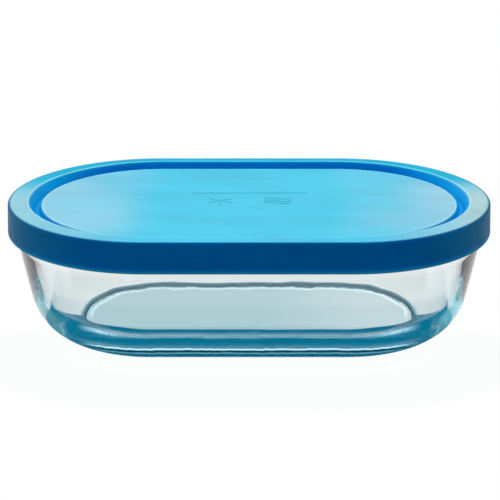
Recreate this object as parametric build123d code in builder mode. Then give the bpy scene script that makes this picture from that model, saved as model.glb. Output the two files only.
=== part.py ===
"""Stadium-shaped pressed-glass storage dish with a one-piece push-on lid.

Millimetres. +Z is up, X runs along the length, and the origin is the middle of the foot.
Every wall is a section of (reach, height) points carried round a stadium. Reach is measured
outwards from the line between the two end centres, so a section is drawn once and serves the
straight sides and the rounded ends. One quarter is made and then mirrored.
"""

import os

from build123d import *

os.makedirs("parts", exist_ok=True)

# Distance from the middle to each end centre
outer_centre = 44.0
groove_centre = 42.0

# Glass dish, outside
foot_recess = 0.5
recess_reach = 33.4
foot_inner_reach = 34.9
foot_outer_reach = 36.1
heel_reach = 53.65
heel_height = 2.47
heel_radius = 24.8
shoulder_reach = 63.3
shoulder_height = 50.0
neck_reach = 63.2
bead_reach = 63.9
bead_low = 56.4
bead_high = 57.8
mouth_height = 62.1

# Glass dish, inside
floor_height = 5.6
floor_reach = 35.1
floor_edge_radius = 4.2
inner_heel_reach = 49.1
inner_heel_height = 11.8
inner_heel_radius = 24.2
inner_shoulder_reach = 58.4
inner_shoulder_height = 47.0
mouth_inner_reach = 59.2
lip_radius = 1.8

# Lid, outer skin
lid_height = 64.0
skirt_bottom = 49.6
skirt_reach_bottom = 66.8
rim_outer_reach = 66.3
rim_outer_height = 63.4
rim_crest_reach = 61.6

# Lid, recess pressed into the top: rim edge, groove and centre panel
rim_inner_reach = 58.9
rim_inner_height = 63.8
groove_floor = 58.9
groove_floor_outer = 55.9
groove_floor_inner = 54.3
panel_reach = 53.1
panel_height = 61.6

# Lid, underside
rim_underside = 62.3
skirt_inner_top = 64.4
skirt_inner_bottom = 65.2
grip_reach = 64.2
grip_low = 51.2
grip_crest = 52.6
grip_high = 53.8
plug_top_reach = 59.5
plug_bottom_outer = 56.4
plug_bottom_inner = 53.3
panel_under_reach = 51.7
panel_thickness = 1.6
groove_thickness = 1.5

# Raised marks on the panel: a freezer snowflake, three oven waves and a line behind them
relief = 0.25
stroke = 0.9
mark_spacing = 13.0
flake_size = 12.0
wave_half_length = 6.0
wave_height = 1.1
wave_pitch = 3.4
line_length = 54.0
line_offset = 12.0

dish_section = [
    (0, foot_recess),
    (recess_reach, foot_recess),
    (foot_inner_reach, 0),
    (foot_outer_reach, 0),
    (heel_reach, heel_height),
    (shoulder_reach, shoulder_height),
    (neck_reach, bead_low),
    (bead_reach, bead_high),
    (bead_reach, mouth_height),
    (mouth_inner_reach, mouth_height),
    (inner_shoulder_reach, inner_shoulder_height),
    (inner_heel_reach, inner_heel_height),
    (floor_reach, floor_height),
    (0, floor_height),
]
dish_radii = [0, 0.8, 0.5, 0.5, heel_radius, 8.0, 1.2, 0.8, lip_radius]
dish_radii += [lip_radius, 14.0, inner_heel_radius, floor_edge_radius, 0]

skin_section = [
    (0, skirt_bottom),
    (skirt_reach_bottom, skirt_bottom),
    (rim_outer_reach, rim_outer_height),
    (rim_crest_reach, lid_height),
    (0, lid_height),
]
skin_radii = [0, 0.6, 1.0, 8.0, 0]

hollow_section = [
    (0, skirt_bottom - 1),
    (skirt_inner_bottom, skirt_bottom - 1),
    (skirt_inner_bottom, grip_low),
    (grip_reach, grip_crest),
    (skirt_inner_bottom - 0.15, grip_high),
    (skirt_inner_top, rim_underside),
    (0, rim_underside),
]
hollow_radii = [0, 0, 0.3, 0.4, 0.4, 0.8, 0]

pan_section = [
    (0, panel_height - panel_thickness),
    (panel_under_reach, panel_height - panel_thickness),
    (plug_bottom_inner, groove_floor - groove_thickness),
    (plug_bottom_outer, groove_floor - groove_thickness),
    (plug_top_reach, rim_underside),
    (plug_top_reach, lid_height - 0.4),
    (0, lid_height - 0.4),
]
pan_radii = [0, 0.6, 0.8, 1.2, 0, 0, 0]

recess_section = [
    (0, panel_height),
    (panel_reach, panel_height),
    (groove_floor_inner, groove_floor),
    (groove_floor_outer, groove_floor),
    (rim_inner_reach, rim_inner_height),
    (rim_crest_reach, lid_height),
    (rim_crest_reach, lid_height + 1),
    (0, lid_height + 1),
]
recess_radii = [0, 0.7, 0.6, 0.9, 0.8, 0, 0, 0]


def carry(points, radii, centre, mode):
    """Carry a section round one quarter of the stadium whose end centre is given."""
    with BuildSketch(Plane.YZ) as at_middle:
        with BuildLine() as outline:
            FilletPolyline(*points, radius=radii, close=True)
        make_face(outline.edges())
    extrude(at_middle.sketch, amount=centre, mode=mode)
    at_end = at_middle.sketch.moved(Location((centre, 0, 0)))
    revolve(at_end, axis=Axis((centre, 0, 0), (0, 0, 1)), revolution_arc=-90, mode=mode)


with BuildPart() as glass_dish:
    carry(dish_section, dish_radii, outer_centre, Mode.ADD)
    mirror(about=Plane.XZ)
    mirror(about=Plane.YZ)

with BuildPart() as lid:
    carry(skin_section, skin_radii, outer_centre, Mode.ADD)
    carry(hollow_section, hollow_radii, outer_centre, Mode.SUBTRACT)
    carry(pan_section, pan_radii, groove_centre, Mode.ADD)
    carry(recess_section, recess_radii, groove_centre, Mode.SUBTRACT)
    mirror(about=Plane.XZ)
    mirror(about=Plane.YZ)
    with BuildSketch(Plane.XY.offset(panel_height)):
        with Locations((0, line_offset)):
            SlotOverall(line_length, stroke)
        with Locations((-mark_spacing, 0)):
            SlotOverall(flake_size, stroke, rotation=90)
            SlotOverall(flake_size, stroke, rotation=30)
            SlotOverall(flake_size, stroke, rotation=150)
        for row in (-wave_pitch, 0, wave_pitch):
            with BuildLine():
                Spline(
                    (mark_spacing - wave_half_length, row),
                    (mark_spacing - wave_half_length / 2, row + wave_height),
                    (mark_spacing, row),
                    (mark_spacing + wave_half_length / 2, row - wave_height),
                    (mark_spacing + wave_half_length, row),
                )
            trace(line_width=stroke)
    extrude(amount=relief)

glass_dish.part.label = "glass_dish"
lid.part.label = "lid"

export_step(glass_dish.part, "parts/glass_dish.step")
export_step(lid.part, "parts/lid.step")
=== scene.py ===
import math

import bmesh
import bpy
import numpy as np
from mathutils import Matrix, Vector, noise


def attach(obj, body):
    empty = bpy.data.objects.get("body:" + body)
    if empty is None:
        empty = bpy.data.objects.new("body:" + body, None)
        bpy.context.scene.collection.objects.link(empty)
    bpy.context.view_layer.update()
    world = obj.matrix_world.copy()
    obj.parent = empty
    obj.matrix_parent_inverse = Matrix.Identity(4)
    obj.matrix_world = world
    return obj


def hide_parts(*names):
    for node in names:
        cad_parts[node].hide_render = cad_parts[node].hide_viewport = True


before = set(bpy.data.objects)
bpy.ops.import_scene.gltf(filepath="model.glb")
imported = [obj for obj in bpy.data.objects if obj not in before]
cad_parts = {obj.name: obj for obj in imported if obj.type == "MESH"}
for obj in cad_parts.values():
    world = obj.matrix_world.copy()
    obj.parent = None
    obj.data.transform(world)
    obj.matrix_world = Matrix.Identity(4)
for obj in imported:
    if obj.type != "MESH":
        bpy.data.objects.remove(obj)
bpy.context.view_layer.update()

# Profiles, paths, patches and their centres are in mm. Blender's own numbers are in metres.
MM = 0.001
END_STEPS = 110  # round each half circle of the stadium
SIDE_STEPS = 72  # along each of its straight sides
OUTER_CENTRE = 44.0  # from the middle to a half circle's centre, for the dish and the lid's outside
GROOVE_CENTRE = 42.0  # the same for the lid's groove and panel
TINY = 1e-9  # keeps a division from being by nothing
SAME_POINT = 1e-6  # mm between profile points that count as one
WELD = 1e-6  # m between mesh points that are joined
NO_AREA = 1e-7  # m, the size of a face that is removed
MIX_FIRST, MIX_SECOND, MIX_RESULT = 6, 7, 2  # a colour Mix node's sockets


# ---------------------------------------------------------------- mesh tools
def unit(vectors):
    """The rows, each made 1 long."""
    return vectors / np.maximum(np.linalg.norm(vectors, axis=1, keepdims=True), TINY)


def rounded(points, radii, arc_step, longest):
    """The open run of (reach, height) points with its inner corners rounded, one radius for each.

    A step along it turns by at most arc_step degrees and is at most longest mm long.
    """
    points = [np.array(p, float) for p in points]
    path = [points[0]]
    for before, corner, after, radius in zip(points, points[1:], points[2:], radii):
        a, b = before - corner, after - corner
        a, b = a / np.linalg.norm(a), b / np.linalg.norm(b)
        half = 0.5 * math.acos(max(-1.0, min(1.0, float(a @ b))))
        reach = radius / math.tan(half)
        centre = corner + (a + b) / np.linalg.norm(a + b) * (radius / math.sin(half))
        start, end = corner + a * reach - centre, corner + b * reach - centre
        turn = math.pi - 2 * half
        steps = max(2, math.ceil(math.degrees(turn) / arc_step), math.ceil(turn * radius / longest))
        sign = 1.0 if start[0] * end[1] - start[1] * end[0] > 0 else -1.0
        for k in range(steps + 1):
            t = sign * turn * k / steps
            c, s = math.cos(t), math.sin(t)
            turned = np.array([c * start[0] - s * start[1], s * start[0] + c * start[1]])
            path.append(centre + turned)
    path.append(points[-1])
    fine = [path[0]]
    for p, q in zip(path, path[1:]):
        length = np.linalg.norm(q - p)
        if length < SAME_POINT:
            continue
        pieces = math.ceil(length / longest)
        fine.extend(p + (q - p) * (k / pieces) for k in range(1, pieces + 1))
    return np.array(fine)


def smooth(value, low, high):
    """0 below low, 1 above high, and an S curve between."""
    t = np.clip((value - low) / (high - low), 0.0, 1.0)
    return t * t * (3 - 2 * t)


def stadium():
    """Once round, counter-clockwise: the place between the centres, -1 to 1, and the way out."""
    along, ways = [], []
    for side in (1.0, -1.0):
        for k in range(END_STEPS + 1):
            t = math.radians(-90 * side + 180 * k / END_STEPS)
            along.append(side)
            ways.append((math.cos(t), math.sin(t)))
        for k in range(1, SIDE_STEPS):
            along.append(side * (1 - 2 * k / SIDE_STEPS))
            ways.append((0.0, side))
    return np.array(along), np.array(ways)


def profile_normals(profile):
    """The outward normal at each point of a profile that runs with its solid on the left."""
    ahead = unit(np.diff(profile, axis=0, append=profile[-1:]))
    behind = unit(np.diff(profile, axis=0, prepend=profile[:1]))
    onward = unit(ahead + behind)
    return np.stack([onward[:, 1], -onward[:, 0]], axis=1)


def swept(profile, centre, shift=None):
    """Points (levels, around, 3) in mm of the profile carried once round the stadium.

    centre is one number, or one for each level. shift(points, profile) gives how far each point
    moves along its normal.
    """
    along, ways = stadium()
    centre = np.broadcast_to(centre, len(profile))
    points = np.zeros((len(profile), len(ways), 3))
    points[..., :2] = profile[:, None, :1] * ways[None]
    points[..., 0] += centre[:, None] * along[None]
    points[..., 2] = profile[:, None, 1]
    if shift is not None:
        normals = profile_normals(profile)
        out = np.zeros_like(points)
        out[..., :2] = normals[:, None, :1] * ways[None]
        out[..., 2] = normals[:, None, 1]
        points += out * shift(points, profile)[..., None]
    return points


def grid_faces(levels, around):
    """Faces between the levels of a grid of points that closes on itself the other way."""
    i, j = np.meshgrid(np.arange(levels - 1), np.arange(around), indexing="ij")
    k = (j + 1) % around
    corners = [i * around + j, i * around + k, (i + 1) * around + k, (i + 1) * around + j]
    return np.stack(corners, 2).reshape(-1, 4)


def cloud(points, size, seed):
    """Smooth random values of about -1 to 1 at points in mm, with features of that size."""
    flat = points.reshape(-1, 3) / size + seed
    return np.array([noise.noise(Vector(p)) for p in flat]).reshape(points.shape[:-1])


def build(name, points, faces, values):
    """A welded, smooth-shaded object from points in mm. values are one or three for each point."""
    mesh = bpy.data.meshes.new(name)
    mesh.from_pydata((np.asarray(points) * MM).tolist(), [], np.asarray(faces).tolist())
    for key, data in values.items():
        data = np.asarray(data, np.float32)
        single = data.ndim == 1
        if not single:
            data = np.concatenate([data, np.ones((len(data), 1), np.float32)], axis=1)
        layer = mesh.attributes.new(key, "FLOAT" if single else "FLOAT_COLOR", "POINT")
        layer.data.foreach_set("value" if single else "color", data.ravel())
    bm = bmesh.new()
    bm.from_mesh(mesh)
    bmesh.ops.remove_doubles(bm, verts=bm.verts, dist=WELD)
    bmesh.ops.dissolve_degenerate(bm, edges=bm.edges, dist=NO_AREA)
    bm.to_mesh(mesh)
    bm.free()
    for p in mesh.polygons:
        p.use_smooth = True
    obj = bpy.data.objects.new(name, mesh)
    bpy.context.scene.collection.objects.link(obj)
    return obj


# ---------------------------------------------------------------- node tools
def material(name):
    """A new material, its node tree, its shader, and its output."""
    made = bpy.data.materials.new(name)
    made.use_nodes = True
    tree = made.node_tree
    tree.nodes.clear()
    output = tree.nodes.new("ShaderNodeOutputMaterial")
    shader = tree.nodes.new("ShaderNodeBsdfPrincipled")
    tree.links.new(shader.outputs[0], output.inputs["Surface"])
    return made, tree, shader, output


def feed(tree, socket, value):
    """Gives the socket a number, or links a node value to it."""
    if isinstance(value, (int, float)):
        socket.default_value = value
    else:
        tree.links.new(value, socket)


def attribute(tree, name, output):
    """A value that the mesh carries at its points."""
    node = tree.nodes.new("ShaderNodeAttribute")
    node.attribute_name = name
    return node.outputs[output]


def grainy(tree, per_metre, detail=2.0):
    """A noise in the piece's own coordinates. per_metre is one number, or three to stretch it."""
    place = tree.nodes.new("ShaderNodeTexCoord")
    stretch = tree.nodes.new("ShaderNodeMapping")
    scale = per_metre if isinstance(per_metre, tuple) else (per_metre,) * 3
    stretch.inputs["Scale"].default_value = scale
    texture = tree.nodes.new("ShaderNodeTexNoise")
    texture.inputs["Scale"].default_value = 1.0
    texture.inputs["Detail"].default_value = detail
    tree.links.new(place.outputs["Object"], stretch.inputs["Vector"])
    tree.links.new(stretch.outputs["Vector"], texture.inputs["Vector"])
    return texture.outputs["Fac"]


def mapped(tree, value, given, wanted, curve="LINEAR"):
    """The value, with the range given carried to the range wanted, and held at its ends beyond."""
    node = tree.nodes.new("ShaderNodeMapRange")
    node.interpolation_type = curve
    for key, number in zip(("From Min", "From Max", "To Min", "To Max"), given + wanted):
        node.inputs[key].default_value = number
    tree.links.new(value, node.inputs["Value"])
    return node.outputs["Result"]


def maths(tree, operation, *values):
    """One operation on node values or numbers."""
    node = tree.nodes.new("ShaderNodeMath")
    node.operation = operation
    for socket, value in zip(node.inputs, values):
        feed(tree, socket, value)
    return node.outputs[0]


def bumped(tree, height, strength, distance, before=None):
    """A bumped normal, on top of the one before. strength is a number or a node value."""
    node = tree.nodes.new("ShaderNodeBump")
    node.inputs["Distance"].default_value = distance
    feed(tree, node.inputs["Strength"], strength)
    tree.links.new(height, node.inputs["Height"])
    if before is not None:
        tree.links.new(before, node.inputs["Normal"])
    return node.outputs["Normal"]


# ---------------------------------------------------------------- glass dish
# From the middle of the underside out, up the outside, over the mouth and down to the inner floor.
DISH = [
    (0, 0.5), (33.4, 0.5), (34.9, 0), (36.1, 0), (53.65, 2.47), (63.3, 50.0), (63.2, 56.4),
    (63.9, 57.8), (63.9, 62.1), (59.2, 62.1), (58.4, 47.0), (49.1, 11.8), (35.1, 5.6), (0, 5.6),
]
DISH_RADII = [0.8, 0.5, 0.5, 24.8, 8.0, 1.2, 0.8, 1.8, 1.8, 14.0, 24.2, 4.2]
STIPPLE_TOP = 4  # the height up to which the outside can be stippled
STIPPLE_STARTS, STIPPLE_ENDS = (34.0, 34.8), (37.0, 39.5)  # reach

dish_profile = rounded(DISH, DISH_RADII, arc_step=4.0, longest=1.2)
inner_from = int(np.argmax(dish_profile[:, 1]))
is_inner = np.arange(len(dish_profile)) > inner_from


def dish_shift(points, profile):
    """Unevenness in mm, as a plunger leaves on the inside of pressed glass."""
    broad_amount, close_amount = 0.10, 0.03
    mouth, fade_below_mouth, fade_from_middle = 60.0, 12.0, 20.0
    shift = np.zeros(points.shape[:2])
    for a in np.nonzero(is_inner)[0]:
        reach, height = profile[a]
        rim = max(0.0, min(1.0, (mouth - height) / fade_below_mouth))
        axis = max(0.0, min(1.0, reach / fade_from_middle))
        for b in range(points.shape[1]):
            x, y, z = points[a, b]
            broad = noise.noise(Vector((x / 24.0, y / 24.0, z / 30.0 + 3.7)))
            close = noise.noise(Vector((x / 8.0 + 11.0, y / 8.0, z / 8.0)))
            shift[a, b] = axis * rim * (broad_amount * broad + close_amount * close)
    return shift


def stipple_ring(profile):
    """How strongly each level is stippled: a ring just outside the foot."""
    reach, height = profile.T
    ring = smooth(reach, *STIPPLE_STARTS) * (1 - smooth(reach, *STIPPLE_ENDS))
    return np.where(is_inner | (height > STIPPLE_TOP), 0, ring)


def pressed_glass():
    """Clear glass, faintly teal through its depth, rippled, and pitted and scuffed at the foot."""
    clear = (1, 1, 1, 1)
    glass, tree, shader, output = material("pressed_glass")
    shader.inputs["Roughness"].default_value = 0.0
    shader.inputs["IOR"].default_value = 1.5
    absorb = tree.nodes.new("ShaderNodeVolumeAbsorption")
    absorb.inputs["Color"].default_value = (0.2, 0.7, 0.77, 1)
    absorb.inputs["Density"].default_value = 20.0
    tree.links.new(absorb.outputs[0], output.inputs["Volume"])
    stipple = attribute(tree, "stipple", "Fac")
    ripple = bumped(tree, grainy(tree, 70.0, detail=1.0), strength=0.25, distance=0.0001)
    pits = bumped(tree, grainy(tree, 900.0), strength=stipple, distance=0.0004, before=ripple)
    tree.links.new(pits, shader.inputs["Normal"])
    through = mapped(tree, stipple, (0.0, 1.0), (1.0, 0.8))
    tree.links.new(through, shader.inputs["Transmission Weight"])
    ring_tint = tree.nodes.new("ShaderNodeMix")
    ring_tint.data_type = "RGBA"
    ring_tint.inputs[MIX_FIRST].default_value = clear
    ring_tint.inputs[MIX_SECOND].default_value = (0.25, 0.78, 0.86, 1)
    tree.links.new(stipple, ring_tint.inputs["Factor"])
    tree.links.new(ring_tint.outputs[MIX_RESULT], shader.inputs["Base Color"])
    scuffs = mapped(tree, grainy(tree, 240.0, detail=3.0), (0.45, 0.7), (0.0, 0.12))
    tree.links.new(maths(tree, "MULTIPLY", scuffs, stipple), shader.inputs["Roughness"])
    return glass


dish_points = swept(dish_profile, OUTER_CENTRE, dish_shift)
dish_around = dish_points.shape[1]
dish = build(
    "glass_dish_shell", dish_points.reshape(-1, 3), grid_faces(len(dish_profile), dish_around),
    {"stipple": np.repeat(stipple_ring(dish_profile), dish_around)},
)
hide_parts("glass_dish")
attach(dish, "dish")
dish.data.materials.append(pressed_glass())

# ---------------------------------------------------------------- lid
# From the middle of the underside out, down inside the skirt, up its outside, over the rim,
# through the groove and back along the top of the panel.
LID = [
    (0, 60.0), (51.7, 60.0), (53.3, 57.4), (56.4, 57.4), (59.5, 62.3), (64.4, 62.3),
    (65.05, 53.8), (64.2, 52.6), (65.2, 51.2), (65.2, 49.6), (66.8, 49.6), (66.3, 63.4),
    (61.6, 64.0), (58.9, 63.8), (55.9, 58.9), (54.3, 58.9), (53.1, 61.6), (0, 61.6),
]
LID_RADII = [0.6, 0.8, 1.2, 0.3, 0.8, 0.4, 0.4, 0.3, 0.3, 0.6, 1.0, 8.0, 0.8, 0.9, 0.6, 0.7]
PANEL_HEIGHT = 61.6
SHARP_ANGLE = 40

# Linear colours of one blue plastic, with light and shade painted in. The photograph shows the
# ends paler than the middle, which is the painted sheen below.
# The skirt darker than the top as painted shade, greener at its ends as a painted reflection, and
# lighter at its foot as painted light from below.
SKIRT, SKIRT_ENDS, SKIRT_FOOT = (0.0, 0.052, 0.175), (0.0, 0.068, 0.150), (0.0, 0.09, 0.29)
# The rim's lit top colour, with painted shade making it darker towards the back.
RIM, RIM_BACK = (0.045, 0.325, 0.46), (0.0, 0.25, 0.38)
# Painted sheen on the rim: paler towards the ends on the near side, palest at the near right.
RIM_PAINTED_SHEEN, RIM_RIGHT = (0.175, 0.345, 0.40), (0.235, 0.355, 0.37)
# Painted shade in the groove, darker than the top, lighter towards its ends.
GROOVE, GROOVE_ENDS = (0.0, 0.092, 0.355), (0.0, 0.225, 0.51)
# The panel's lit top colour, and its painted sheen towards the ends.
PANEL, PANEL_PAINTED_SHEEN = (0.045, 0.335, 0.460), (0.180, 0.350, 0.435)
# Painted highlights along the rim's inner edge and the panel's edge, paler towards the ends.
PAINTED_EDGE_HIGHLIGHT, PAINTED_EDGE_HIGHLIGHT_SHEEN = (0.07, 0.44, 0.60), (0.24, 0.45, 0.52)
# The underside, darker than the top as painted shade.
UNDERSIDE = (0.005, 0.14, 0.24)


def mixed(first, second, share):
    """The first colour where share is 0 and the second where it is 1."""
    first, second = np.asarray(first, float), np.asarray(second, float)
    return first + (second - first) * np.asarray(share)[..., None]


def lid_colours(points, profile, upper):
    """A colour for each point of the lid, with light and shade painted in. upper says which levels
    are its outside.
    """
    reach, height = profile.T
    x, y, z = points[..., 0], points[..., 1], points[..., 2]
    far = np.abs(x)
    # Painted sheen: paler towards the ends, broken up by a cloud.
    painted_sheen = smooth(far + 20 * cloud(points, 34.0, 5.3), 34, 108)
    skirt = mixed(SKIRT, SKIRT_ENDS, smooth(far, 62, 108))
    skirt = mixed(skirt, SKIRT_FOOT, smooth(-z, -52.6, -50.0))
    rim = mixed(RIM, RIM_BACK, smooth(y, -10, 40))
    rim = mixed(rim, RIM_PAINTED_SHEEN, painted_sheen * smooth(-y, -28, 6))
    rim = mixed(rim, RIM_RIGHT, smooth(x, 80, 110) * smooth(-y, -30, 10))
    groove = mixed(GROOVE, GROOVE_ENDS, smooth(far, 66, 104))
    panel = mixed(PANEL, PANEL_PAINTED_SHEEN, painted_sheen)
    painted_edge_highlight = mixed(PAINTED_EDGE_HIGHLIGHT, PAINTED_EDGE_HIGHLIGHT_SHEEN, painted_sheen)
    rim_edge = smooth(reach, 58.7, 59.0) * (1 - smooth(reach, 59.3, 60.0))
    panel_edge = smooth(reach, 52.0, 52.5) * (1 - smooth(reach, 52.9, 53.3))
    # Each zone is laid over the last, between places on the profile that its reach and height give.
    tint = skirt
    for colour, share in (
        (np.array(UNDERSIDE), ~upper * 1.0),
        (rim, upper * (height > 60) * (1 - smooth(reach, 65.1, 65.7))),
        (groove, upper * (1 - smooth(reach, 58.3, 59.1)) * (height < 63.9)),
        (panel, upper * (1 - smooth(reach, 52.9, 53.5))),
        (painted_edge_highlight, 0.7 * upper * (height > 63.2) * rim_edge),
        (painted_edge_highlight, 0.6 * upper * (height > 61.2) * panel_edge),
    ):
        tint = tint + (colour - tint) * share[:, None, None]
    return tint, panel


def ribbon(path, width, rise, base, sink=0.3, bevel=0.12):
    """Points and faces of a raised line with round ends that follows the path of (x, y) points."""
    step = unit(np.gradient(path, axis=0))
    left = np.stack([-step[:, 1], step[:, 0]], axis=1)
    lengths = np.linalg.norm(np.diff(path, axis=0), axis=1)
    gone = np.concatenate([[0], np.cumsum(lengths)])
    ends = np.minimum(gone, gone[-1] - gone) / (width / 2)
    half = width / 2 * np.sqrt(np.clip(1 - (1 - np.clip(ends, 0, 1)) ** 2, 0, 1))
    inner = np.maximum(half - bevel, 0)
    rows = []
    for reach, level in (
        (-half, -sink), (-half, rise - bevel), (-inner, rise),
        (inner, rise), (half, rise - bevel), (half, -sink),
    ):
        xy = path + left * reach[:, None]
        rows.append(np.column_stack([xy, np.full(len(xy), base + level)]))
    points = np.stack(rows, axis=1)
    return points.reshape(-1, 3), grid_faces(*points.shape[:2])


def straight(x, y, length, degrees):
    """Stations along a straight line about (x, y), closer together at its round ends."""
    end, gap = 0.45, 1.5
    t = np.concatenate([
        np.linspace(0, end, 6), np.linspace(gap, length - gap, 9), length - np.linspace(end, 0, 6),
    ])
    t -= length / 2
    angle = math.radians(degrees)
    return np.column_stack([x + t * math.cos(angle), y + t * math.sin(angle)])


def wave(x, y, length, swing):
    """Stations along one wave that starts at (x, y), closer together at its round ends."""
    t = np.concatenate([
        np.linspace(0, 0.04, 5), np.linspace(0.07, 0.93, 30), np.linspace(0.96, 1, 5),
    ])
    return np.column_stack([x + length * t, y + swing * np.sin(2 * math.pi * t)])


def lid_plastic():
    """Satin plastic in the mesh's colours, which hold painted shade, sheen and highlights; mottled,
    specked and rubbed.
    """
    plastic, tree, shader, _ = material("blue_lid_plastic")
    flow = mapped(tree, grainy(tree, (22.0, 60.0, 60.0), detail=3.0), (0.3, 0.7), (0.94, 1.06))
    speck = mapped(tree, grainy(tree, 650.0), (0.3, 0.7), (0.97, 1.03))
    rubbing = grainy(tree, (60.0, 2400.0, 2400.0), detail=1.0)
    rubbed = mapped(tree, rubbing, (0.66, 0.74), (1.0, 1.10))
    mottling = maths(tree, "MULTIPLY", maths(tree, "MULTIPLY", flow, speck), rubbed)
    mottled = tree.nodes.new("ShaderNodeVectorMath")
    mottled.operation = "SCALE"
    tree.links.new(attribute(tree, "tint", "Color"), mottled.inputs[0])
    tree.links.new(mottling, mottled.inputs["Scale"])
    tree.links.new(mottled.outputs["Vector"], shader.inputs["Base Color"])
    sheen = mapped(tree, grainy(tree, 130.0, detail=3.0), (0.3, 0.7), (0.32, 0.46))
    tree.links.new(sheen, shader.inputs["Roughness"])
    waves = bumped(tree, grainy(tree, 45.0, detail=1.0), strength=0.3, distance=0.0004)
    grain = bumped(tree, grainy(tree, 1400.0), strength=0.35, distance=0.00006, before=waves)
    tree.links.new(grain, shader.inputs["Normal"])
    shader.inputs["IOR"].default_value = 1.5
    # Little reflection of its own, because the lid's sheen is painted into its colours.
    shader.inputs["Specular IOR Level"].default_value = 0.02
    shader.inputs["Specular Tint"].default_value = (0.0, 0.5, 1.0, 1)
    return plastic


lid_profile = rounded(LID, LID_RADII, arc_step=12.0, longest=1.0)
lid_reach = lid_profile[:, 0]
lid_upper = np.arange(len(lid_profile)) > int(np.argmax(lid_reach))
outside = np.where(lid_upper, smooth(lid_reach, 60.6, 62.6), smooth(lid_reach, 60.0, 64.0))
lid_points = swept(lid_profile, GROOVE_CENTRE + (OUTER_CENTRE - GROOVE_CENTRE) * outside)
tint, panel = lid_colours(lid_points, lid_profile, lid_upper)

# The relief marks: a line, a snowflake and three waves, in place of the lettering.
RELIEF = 0.25
STROKE = 0.9
# Painted shade on the marks: darker at their foot, a little lighter on top.
MARK_PAINTED_SHADE = (0.55, 0.70, 1.06, 1.06, 0.70, 0.55)  # across a mark, darker at its foot
marks = [straight(0, 12.0, 54.0, 0)]
marks += [straight(-13.0, 0, 12.0, degrees) for degrees in (90, 30, 150)]
marks += [wave(7.0, row, 12.0, 1.15) for row in (-3.4, 0, 3.4)]
all_points = [lid_points.reshape(-1, 3)]
all_faces = [grid_faces(*lid_points.shape[:2])]
all_tints = [tint.reshape(-1, 3)]
for path in marks:
    points, faces = ribbon(path, STROKE, RELIEF, PANEL_HEIGHT)
    all_faces.append(faces + sum(len(p) for p in all_points))
    all_points.append(points)
    shades = np.resize(MARK_PAINTED_SHADE, len(points))
    all_tints.append(panel[-1, :1] * shades[:, None])
lid = build(
    "lid_shell", np.concatenate(all_points), np.concatenate(all_faces),
    {"tint": np.concatenate(all_tints)},
)
lid.data.set_sharp_from_angle(angle=math.radians(SHARP_ANGLE))
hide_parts("lid")
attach(lid, "lid")
lid.data.materials.append(lid_plastic())

# ---------------------------------------------------------------- floor
FLOOR_HALF = 3000
FLOOR_HEIGHT = -0.1
FLOOR_GLOW = 0.97
FLOOR_COLOUR = 0.03


def floor():
    """A plain pale floor that glows, so that it is even under the soft light."""
    corners = [(-FLOOR_HALF, -FLOOR_HALF), (FLOOR_HALF, -FLOOR_HALF)]
    corners += [(-x, -y) for x, y in corners]
    mesh = bpy.data.meshes.new("floor")
    mesh.from_pydata([(x * MM, y * MM, FLOOR_HEIGHT * MM) for x, y in corners], [], [(0, 1, 2, 3)])
    obj = bpy.data.objects.new("floor", mesh)
    bpy.context.scene.collection.objects.link(obj)
    made, _, shader, _ = material("floor")
    shader.inputs["Base Color"].default_value = (FLOOR_COLOUR, FLOOR_COLOUR, FLOOR_COLOUR, 1)
    shader.inputs["Roughness"].default_value = 0.9
    shader.inputs["Emission Color"].default_value = (1, 1, 1, 1)
    shader.inputs["Emission Strength"].default_value = FLOOR_GLOW
    shader.inputs["Specular IOR Level"].default_value = 0.0
    mesh.materials.append(made)


floor()

# ---------------------------------------------------------------- painted light and shade under the dish
# It is seen only through the glass and in reflections. It stands in for the blue light that falls
# through the lid and gathers under the glass. Its colours and lines were fitted to the photograph.
# TEAL is painted blue shade under the lid, MIDDLE the painted shade on the floor inside the foot,
# and BRIGHT the painted light in the lines round the foot.
TEAL = np.array([0.002, 0.19, 0.32])
MIDDLE = np.array([0.57, 0.74, 0.77])
MIDDLE_RIGHT = np.array([0.80, 0.87, 0.89])
TABLE = np.array([0.96, 0.92, 0.90])
BRIGHT = np.array([0.9, 1.0, 1.05])
PATCH_HEIGHT = -0.02
WOBBLE_SIZE = 1.7

# Steps are closest where the lines are.
patch_reach = np.concatenate([
    np.arange(0, 20, 2.0), np.arange(20, 46, 0.25), np.arange(46, 110, 2.0),
    np.geomspace(110, 600, 12),
])
along, ways = stadium()
facing = ways[:, 1]
at_end = 1 - smooth(np.abs(facing), 0.2, 0.85)


def wobble(at, seed):
    """Random values of about -1 to 1 once round the foot, at one reach."""
    return np.array([
        noise.noise(
            Vector((OUTER_CENTRE * a + at * w[0], at * w[1], 9.0 * seed)) / WOBBLE_SIZE
        )
        for a, w in zip(along, ways)
    ])


def line(at, half_width, jag, seed):
    """How strongly a line round the foot shows at each patch point, with a jagged edge."""
    off = np.abs(patch_reach[:, None] + jag * wobble(at, seed)[None] - at)
    return 1 - smooth(off, half_width * 0.6, half_width * 1.4)


def beyond(edge, before, after):
    """0 inside the edge and 1 beyond it, with the change from before it to after it."""
    return smooth(patch_reach[:, None], edge[None] - before, edge[None] + after)


front = smooth(-facing, 0.1, 0.5)[None]
back = smooth(facing, -0.2, 0.1)[None]
near = smooth(-facing, 0.6, 0.9)[None]
# Painted light: bright jagged lines round the foot.
bright = (
    0.35 * back * line(31.2, half_width=0.9, jag=1.4, seed=1)
    + near * (
        1.0 * line(40.6, half_width=0.6, jag=0.5, seed=2)
        + 0.5 * line(36.9, half_width=0.6, jag=0.6, seed=3)
    )
    + 0.9 * near * line(53.6, half_width=2.0, jag=0.8, seed=6)
)
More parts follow.
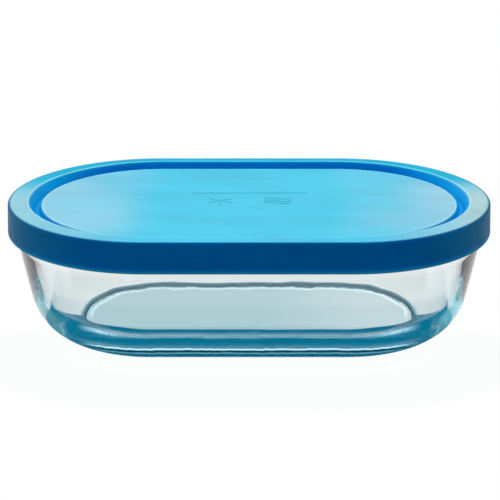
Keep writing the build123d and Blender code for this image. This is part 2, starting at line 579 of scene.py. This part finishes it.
# Painted shadow: dark jagged lines round the foot.
dark = (
    front * (
        0.9 * line(38.7, half_width=0.9, jag=0.6, seed=4)
        + 0.5 * line(35.0, half_width=1.1, jag=0.9, seed=5)
    )
    + (0.45 - 0.3 * at_end) * (1 - front) * line(35.4, half_width=2.0, jag=2.4, seed=7)
)
teal_edge = 37.8 - 1.4 * at_end + 56 * smooth(-facing, 0.0, 0.3)
middle_edge = (
    32.6 + 1.6 * at_end - 9.6 * smooth(-facing, 0.2, 0.95)
    + 1.5 * wobble(32.0, 8) * (1 - front[0])
)
patch_profile = np.column_stack([patch_reach, np.full(len(patch_reach), PATCH_HEIGHT)])
patch_points = swept(patch_profile, OUTER_CENTRE)
inside = mixed(MIDDLE, MIDDLE_RIGHT, smooth(patch_points[..., 0], 0, 70))
middle = 1 - beyond(middle_edge, 0.5, 0.7)
glow = mixed(TEAL, inside, middle) * (1 - dark[..., None])
glow = glow + bright[..., None] * BRIGHT
glow = mixed(glow, TABLE, beyond(teal_edge, 0.6, 0.8))
shade = build(
    "shade_under_dish", patch_points.reshape(-1, 3), grid_faces(*patch_points.shape[:2]),
    {"glow": glow.reshape(-1, 3)},
)
shade_material, shade_tree, shade_shader, _ = material("shade_under_dish")
shade_shader.inputs["Base Color"].default_value = (0, 0, 0, 1)
shade_shader.inputs["Specular IOR Level"].default_value = 0.0
shade_shader.inputs["Emission Strength"].default_value = 1.0
feed(shade_tree, shade_shader.inputs["Emission Color"], attribute(shade_tree, "glow", "Color"))
shade.data.materials.append(shade_material)
shade.visible_camera = False

# ---------------------------------------------------------------- light
# The world's strength: so much from everywhere, and what each way adds as its cosine rises.
EVERYWHERE = 0.5
BEHIND = 0.12
ABOVE = 2.1
SIDES = 0.6
LEFT = 0.4
GLASS_BOUNCES = 64  # with fewer, rays caught in the glass wall come out black
DIFFUSE_BOUNCES = 6

scene = bpy.context.scene
world = bpy.data.worlds.new("studio")
world.use_nodes = True
scene.world = world
sky = world.node_tree
background = sky.nodes["Background"]
background.inputs["Color"].default_value = (1, 1, 1, 1)
coords = sky.nodes.new("ShaderNodeTexCoord")
split = sky.nodes.new("ShaderNodeSeparateXYZ")
sky.links.new(coords.outputs["Generated"], split.inputs[0])
light = EVERYWHERE
for way, cosines, adds in (
    (split.outputs["Y"], (-0.2, 0.5), BEHIND),
    (split.outputs["Z"], (0.5, 0.9), ABOVE),
    (maths(sky, "ABSOLUTE", split.outputs["X"]), (0.5, 0.9), SIDES),
    (maths(sky, "MULTIPLY", split.outputs["X"], -1.0), (0.15, 0.4), LEFT),
):
    light = maths(sky, "ADD", light, mapped(sky, way, cosines, (0.0, adds), "SMOOTHSTEP"))
sky.links.new(light, background.inputs["Strength"])

scene.view_settings.view_transform = "Standard"
scene.cycles.max_bounces = GLASS_BOUNCES
scene.cycles.transmission_bounces = GLASS_BOUNCES
scene.cycles.glossy_bounces = GLASS_BOUNCES
scene.cycles.diffuse_bounces = DIFFUSE_BOUNCES

# ---------------------------------------------------------------- camera
TOP = 64.0 * MM
DISTANCE = 0.675
ELEVATION = math.radians(17.02)
SENSOR = 36.0
FOCAL_PIXELS, PHOTO_PIXELS = 1467.5, 500.0

camera_data = bpy.data.cameras.new("camera")
camera_data.sensor_width = SENSOR
camera_data.lens = SENSOR * FOCAL_PIXELS / PHOTO_PIXELS
camera_data.shift_x = 0.0018
camera_data.shift_y = -0.109
camera = bpy.data.objects.new("camera", camera_data)
scene.collection.objects.link(camera)
back_by, up_by = DISTANCE * math.cos(ELEVATION), DISTANCE * math.sin(ELEVATION)
camera.location = (0, -back_by, TOP + up_by)
camera.rotation_euler = (math.pi / 2 - ELEVATION, 0, 0)
scene.camera = camera

bpy.context.view_layer.update()
